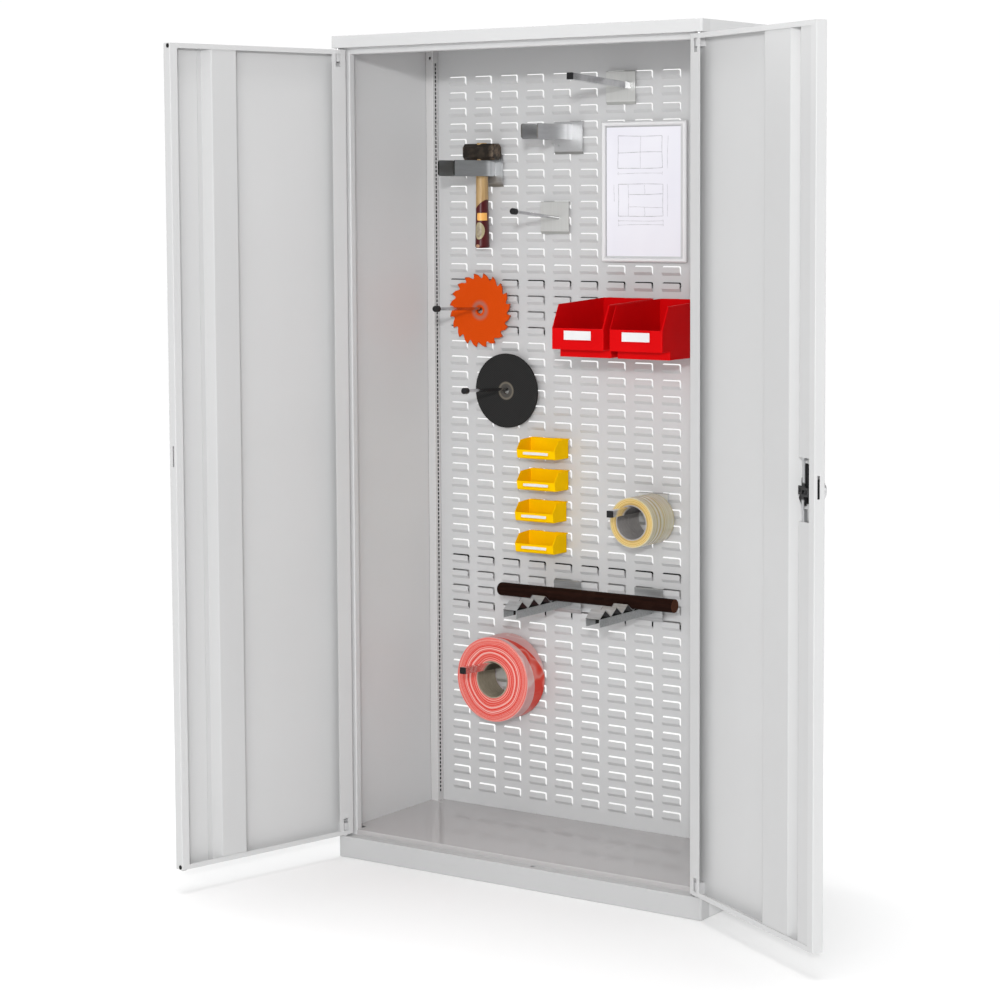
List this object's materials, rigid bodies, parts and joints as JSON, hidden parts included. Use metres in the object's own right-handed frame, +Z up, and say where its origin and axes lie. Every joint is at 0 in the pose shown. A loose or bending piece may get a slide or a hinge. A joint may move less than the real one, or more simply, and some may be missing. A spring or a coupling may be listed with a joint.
{
  "type": "tool cabinet with doors",
  "caption": "Tall two-door steel cabinet with a louvred inner back wall, hooks, tool holders, hang-on bins, a notice frame and hung tools, closed by a turn handle with lock rods.",
  "frame": {"origin": "floor level, midway between the cabinet's side panels and midway between its front and back", "axes": "+Z up, +Y towards the back of the cabinet, +X to the right as seen from the front"},
  "size_m": [1.5198, 0.8872, 1.95],
  "materials": {
    "grey_paint": "light grey powder coat, satin",
    "inner_paint": "grey powder coat, satin",
    "wall_paint": "light grey powder coat on louvred sheet",
    "zinc_steel": "bright zinc plating",
    "hook_chrome": "polished chrome bar",
    "black_plastic": "black moulded plastic",
    "bush_plastic": "light grey moulded plastic",
    "black_rubber": "black rubber",
    "red_plastic": "red moulded plastic",
    "yellow_plastic": "yellow moulded plastic",
    "anodised_frame": "pale anodised frame",
    "paper": "white printing paper",
    "hammer_iron": "blackened forged head",
    "handle_wood": "oiled wood with a dipped end",
    "blade_paint": "orange painted steel",
    "disc_grit": "bonded dark grit",
    "packing_film": "golden wound film",
    "cardboard": "grey brown board",
    "barrier_film": "red and white wound film",
    "bar_wood": "dark stained wood"
  },
  "bodies": {
    "cabinet": {"left_side_panel": "grey_paint", "right_side_panel": "grey_paint", "top_cover": "grey_paint", "plinth": "grey_paint", "left_front_post": "grey_paint", "right_front_post": "grey_paint", "header_rail": "grey_paint", "left_rear_post": "inner_paint", "right_rear_post": "inner_paint", "floor_panel": "inner_paint", "upper_back_rail": "inner_paint", "lower_back_rail": "inner_paint", "upper_louvred_panel": "wall_paint", "middle_louvred_panel": "wall_paint", "lower_louvred_panel": "wall_paint", "levelling_feet": "zinc_steel", "back_panel_screws": "zinc_steel", "hinge_pins": "zinc_steel", "wide_holder": "zinc_steel", "hammer_holder": "zinc_steel", "left_bar_holder": "zinc_steel", "right_bar_holder": "zinc_steel", "long_square_hook": "hook_chrome", "upper_tape_hook": "hook_chrome", "lower_tape_hook": "hook_chrome", "round_hook": "hook_chrome", "blade_hook": "hook_chrome", "disc_hook": "hook_chrome", "hook_caps": "black_plastic", "notice_frame": "anodised_frame", "notice_sheet": "paper"},
    "left_door": {"left_door_panel": "grey_paint", "left_door_stiffener": "grey_paint", "left_door_bushes": "bush_plastic", "left_door_buffers": "black_rubber"},
    "right_door": {"right_door_panel": "grey_paint", "right_door_stiffener": "grey_paint", "right_door_bushes": "bush_plastic", "lock_channel": "grey_paint", "lock_case": "black_plastic"},
    "handle": {"turn_handle": "zinc_steel", "lock_cam": "black_plastic"},
    "key_plug": {"lock_cylinder": "zinc_steel"},
    "upper_rod": {"upper_lock_rod": "zinc_steel"},
    "lower_rod": {"lower_lock_rod": "zinc_steel"},
    "hammer": {"hammer_head": "hammer_iron", "hammer_handle": "handle_wood"},
    "blade": {"saw_blade": "blade_paint"},
    "disc": {"grinding_disc": "disc_grit"},
    "packing_tape": {"packing_tape_roll": "packing_film", "packing_tape_core": "cardboard"},
    "barrier_tape": {"barrier_tape_roll": "barrier_film", "barrier_tape_core": "cardboard"},
    "bar": {"round_bar": "bar_wood"},
    "red_bin_left": {"red_bin_left": "red_plastic"},
    "red_bin_right": {"red_bin_right": "red_plastic"},
    "yellow_bin_1": {"yellow_bin_1": "yellow_plastic"},
    "yellow_bin_2": {"yellow_bin_2": "yellow_plastic"},
    "yellow_bin_3": {"yellow_bin_3": "yellow_plastic"},
    "yellow_bin_4": {"yellow_bin_4": "yellow_plastic"}
  },
  "joints": [
    {"name": "left_door_hinge", "type": "hinge", "parent": "cabinet", "child": "left_door", "pos_m": [-0.487, -0.2, 0.985], "axis": [0, 0, 1], "range_deg": [-76.7, 103.3]},
    {"name": "right_door_hinge", "type": "hinge", "parent": "cabinet", "child": "right_door", "pos_m": [0.487, -0.2, 0.985], "axis": [0, 0, 1], "range_deg": [-149.9, 30.1]},
    {"name": "handle_turn", "type": "hinge", "parent": "right_door", "child": "handle", "pos_m": [0.86767, -0.42067, 0.986], "axis": [0.5015, 0.8652, 0], "range_deg": [0, 90]},
    {"name": "key_turn", "type": "hinge", "parent": "handle", "child": "key_plug", "pos_m": [0.86767, -0.42067, 0.986], "axis": [0.5015, 0.8652, 0], "range_deg": [0, 90]},
    {"name": "upper_rod_slide", "type": "slide", "parent": "right_door", "child": "upper_rod", "axis": [0, 0, 1], "range_m": [0, 0.012]},
    {"name": "lower_rod_slide", "type": "slide", "parent": "right_door", "child": "lower_rod", "axis": [0, 0, -1], "range_m": [0, 0.012]},
    {"name": "red_bin_left_lift", "type": "slide", "parent": "cabinet", "child": "red_bin_left", "axis": [0, 0, 1], "range_m": [0, 0.01]},
    {"name": "red_bin_right_lift", "type": "slide", "parent": "cabinet", "child": "red_bin_right", "axis": [0, 0, 1], "range_m": [0, 0.01]},
    {"name": "yellow_bin_1_lift", "type": "slide", "parent": "cabinet", "child": "yellow_bin_1", "axis": [0, 0, 1], "range_m": [0, 0.01]},
    {"name": "yellow_bin_2_lift", "type": "slide", "parent": "cabinet", "child": "yellow_bin_2", "axis": [0, 0, 1], "range_m": [0, 0.01]},
    {"name": "yellow_bin_3_lift", "type": "slide", "parent": "cabinet", "child": "yellow_bin_3", "axis": [0, 0, 1], "range_m": [0, 0.01]},
    {"name": "yellow_bin_4_lift", "type": "slide", "parent": "cabinet", "child": "yellow_bin_4", "axis": [0, 0, 1], "range_m": [0, 0.01]},
    {"name": "hammer_lift", "type": "slide", "parent": "cabinet", "child": "hammer", "axis": [0, 0, 1], "range_m": [0, 0.06]},
    {"name": "blade_slide", "type": "slide", "parent": "cabinet", "child": "blade", "axis": [0, -0.9992, 0.0408], "range_m": [0, 0.16]},
    {"name": "disc_slide", "type": "slide", "parent": "cabinet", "child": "disc", "axis": [0, -0.9991, 0.0427], "range_m": [0, 0.15]},
    {"name": "packing_tape_slide", "type": "slide", "parent": "cabinet", "child": "packing_tape", "axis": [0, -1, 0], "range_m": [0, 0.075]},
    {"name": "barrier_tape_slide", "type": "slide", "parent": "cabinet", "child": "barrier_tape", "axis": [0, -0.9983, 0.0578], "range_m": [0, 0.1]},
    {"name": "bar_lift", "type": "slide", "parent": "cabinet", "child": "bar", "axis": [0, 0, 1], "range_m": [0, 0.03]}
  ],
  "couplings": [
    {"joint": "handle_turn", "follows": "upper_rod_slide", "rad_per_m": 130.9},
    {"joint": "lower_rod_slide", "follows": "upper_rod_slide", "ratio": 1}
  ]
}
